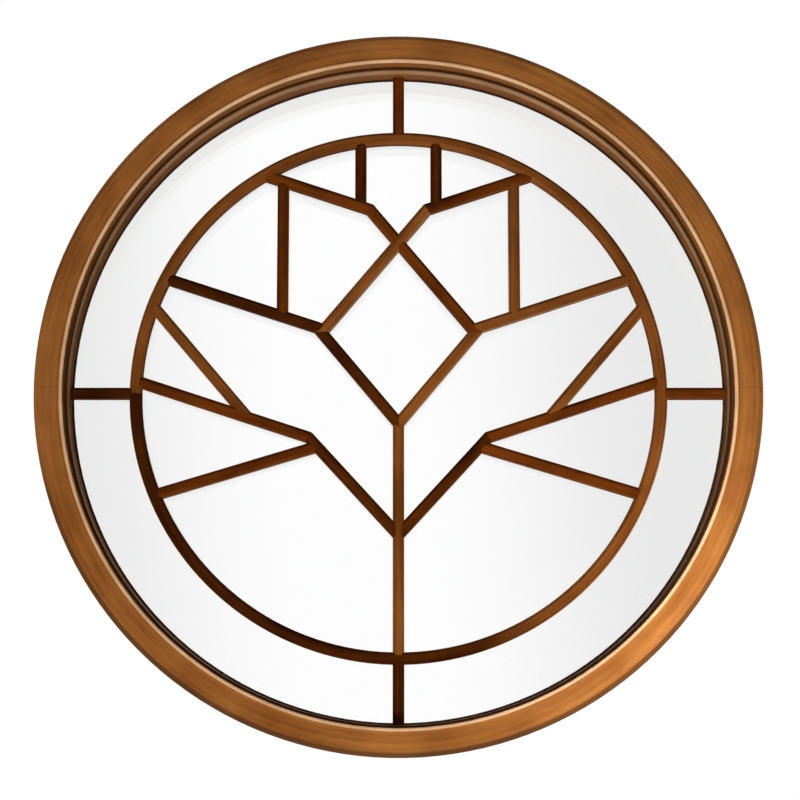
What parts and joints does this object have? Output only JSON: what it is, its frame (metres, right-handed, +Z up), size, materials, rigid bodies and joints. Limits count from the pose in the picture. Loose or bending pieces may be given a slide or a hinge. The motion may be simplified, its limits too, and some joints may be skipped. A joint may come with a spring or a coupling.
{
  "type": "round fixed window",
  "caption": "Round fixed window for a wall opening: a moulded timber casing and deep jamb hold double glazing behind a ring of timber glazing bars that draw a flower.",
  "frame": {"origin": "on the window's axis, in the plane of the wall's room face, where the casing's back lies", "axes": "+Z up as the window hangs in a wall, +Y through the wall from the room to the outside, +X to the right as seen from the room"},
  "size_m": [1, 0.116, 0.9998],
  "materials": {
    "frame_wood": "satin lacquer",
    "bar_wood": "dark stain, satin",
    "tongue_wood": "bare",
    "glass": "clear float glass",
    "spacer": "foam, matte",
    "gasket": "matte",
    "tape": "foam tape, matte",
    "blocks": "matte",
    "pins": "plain wire"
  },
  "bodies": {
    "root": {"bar_tapes": "tape", "bead_pins": "pins", "calyx_bar_left": "bar_wood", "calyx_bar_right": "bar_wood", "casing_lower": "frame_wood", "casing_upper": "frame_wood", "cross_bar_left": "bar_wood", "cross_bar_right": "bar_wood", "diamond_bar_left": "bar_wood", "diamond_bar_right": "bar_wood", "edge_spacer": "spacer", "glazing_bead_lower": "frame_wood", "glazing_bead_upper": "frame_wood", "inner_pane": "glass", "jamb_left": "frame_wood", "jamb_right": "frame_wood", "leaf_brace_left": "bar_wood", "leaf_brace_right": "bar_wood", "location_blocks": "blocks", "loose_tongues": "tongue_wood", "lower_leaf_bar_left": "bar_wood", "lower_leaf_bar_right": "bar_wood", "middle_leaf_bar_left": "bar_wood", "middle_leaf_bar_right": "bar_wood", "outer_pane": "glass", "petal_rail_left": "bar_wood", "petal_rail_right": "bar_wood", "petal_upright_left": "bar_wood", "petal_upright_right": "bar_wood", "rear_tape": "tape", "ring_bar_lower": "bar_wood", "ring_bar_upper": "bar_wood", "room_gasket": "gasket", "setting_blocks": "blocks", "side_upright_left": "bar_wood", "side_upright_right": "bar_wood", "spoke_bottom": "bar_wood", "spoke_left": "bar_wood", "spoke_right": "bar_wood", "spoke_top": "bar_wood", "stem_bar": "bar_wood", "upper_leaf_bar_left": "bar_wood", "upper_leaf_bar_right": "bar_wood"}
  },
  "joints": []
}
